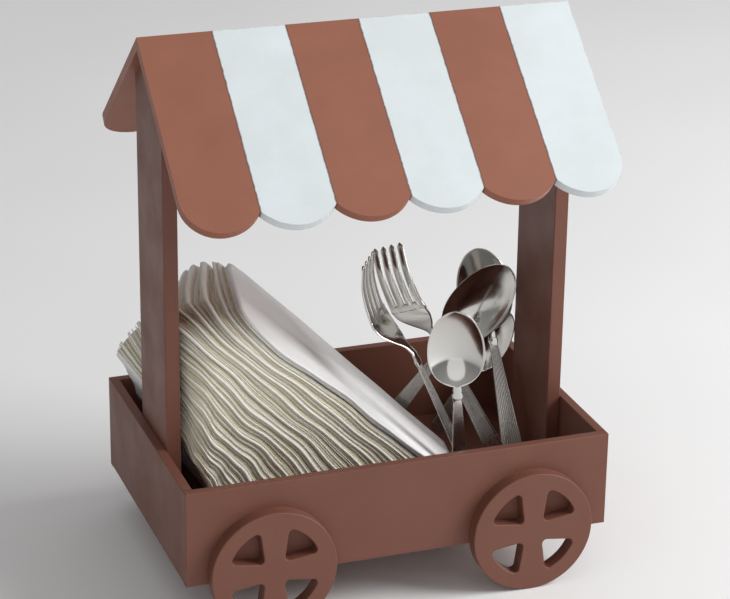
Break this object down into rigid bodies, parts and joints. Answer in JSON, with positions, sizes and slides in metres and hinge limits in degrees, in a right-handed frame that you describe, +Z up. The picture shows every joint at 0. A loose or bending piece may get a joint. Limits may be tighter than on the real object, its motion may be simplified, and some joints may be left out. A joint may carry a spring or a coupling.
{
  "type": "napkin dispenser",
  "caption": "Tabletop napkin and cutlery caddy shaped like a market cart: open tray on glued wheels, two posts, striped scalloped gable roof, leaning paper napkins and loose cutlery.",
  "frame": {"origin": "on the table, under the middle of the cart", "axes": "+X to the right along the front, +Y to the back, +Z up"},
  "size_m": [0.27, 0.2046, 0.3444],
  "materials": {
    "brown_paint": "fibreboard with satin brown paint",
    "striped_roof_paint": "fibreboard painted in brown and white stripes, brown underneath",
    "steel_brads": "plain steel, filled and painted over",
    "paper_napkin": "soft folded tissue",
    "stainless": "polished stainless steel"
  },
  "bodies": {
    "cart": {"tray_floor": "brown_paint", "tray_front_panel": "brown_paint", "tray_back_panel": "brown_paint", "tray_left_end": "brown_paint", "tray_right_end": "brown_paint", "left_post": "brown_paint", "right_post": "brown_paint", "roof_front_panel": "striped_roof_paint", "roof_back_panel": "striped_roof_paint", "wheel_front_left": "brown_paint", "wheel_front_right": "brown_paint", "wheel_back_left": "brown_paint", "wheel_back_right": "brown_paint", "tray_corner_brads": "steel_brads", "tray_floor_brads": "steel_brads", "post_brads": "steel_brads", "roof_brads": "steel_brads", "napkin_01": "paper_napkin", "napkin_02": "paper_napkin", "napkin_03": "paper_napkin", "napkin_04": "paper_napkin", "napkin_05": "paper_napkin", "napkin_06": "paper_napkin", "napkin_07": "paper_napkin", "napkin_08": "paper_napkin", "napkin_09": "paper_napkin", "napkin_10": "paper_napkin", "napkin_11": "paper_napkin", "napkin_12": "paper_napkin"},
    "top_napkin": {"top_napkin": "paper_napkin"},
    "front_spoon": {"front_spoon": "stainless"},
    "left_fork": {"left_fork": "stainless"},
    "front_fork": {"front_fork": "stainless"},
    "middle_spoon": {"middle_spoon": "stainless"},
    "right_spoon": {"right_spoon": "stainless"},
    "back_spoon": {"back_spoon": "stainless"}
  },
  "joints": [
    {"name": "top_napkin_slide", "type": "slide", "parent": "cart", "child": "top_napkin", "axis": [-0.7445, 0.0511, 0.6657], "range_m": [0, 0.045]},
    {"name": "front_spoon_lift", "type": "slide", "parent": "cart", "child": "front_spoon", "axis": [0, 0, 1], "range_m": [0, 0.058]},
    {"name": "left_fork_lift", "type": "slide", "parent": "cart", "child": "left_fork", "axis": [0, 0, 1], "range_m": [0, 0.058]},
    {"name": "front_fork_lift", "type": "slide", "parent": "cart", "child": "front_fork", "axis": [0, 0, 1], "range_m": [0, 0.058]},
    {"name": "middle_spoon_lift", "type": "slide", "parent": "cart", "child": "middle_spoon", "axis": [0, 0, 1], "range_m": [0, 0.058]},
    {"name": "right_spoon_slide", "type": "slide", "parent": "cart", "child": "right_spoon", "axis": [0.444, -0.159, 0.8818], "range_m": [0, 0.065]},
    {"name": "back_spoon_slide", "type": "slide", "parent": "cart", "child": "back_spoon", "axis": [-0.0497, 0.4261, 0.9033], "range_m": [0, 0.064]}
  ]
}
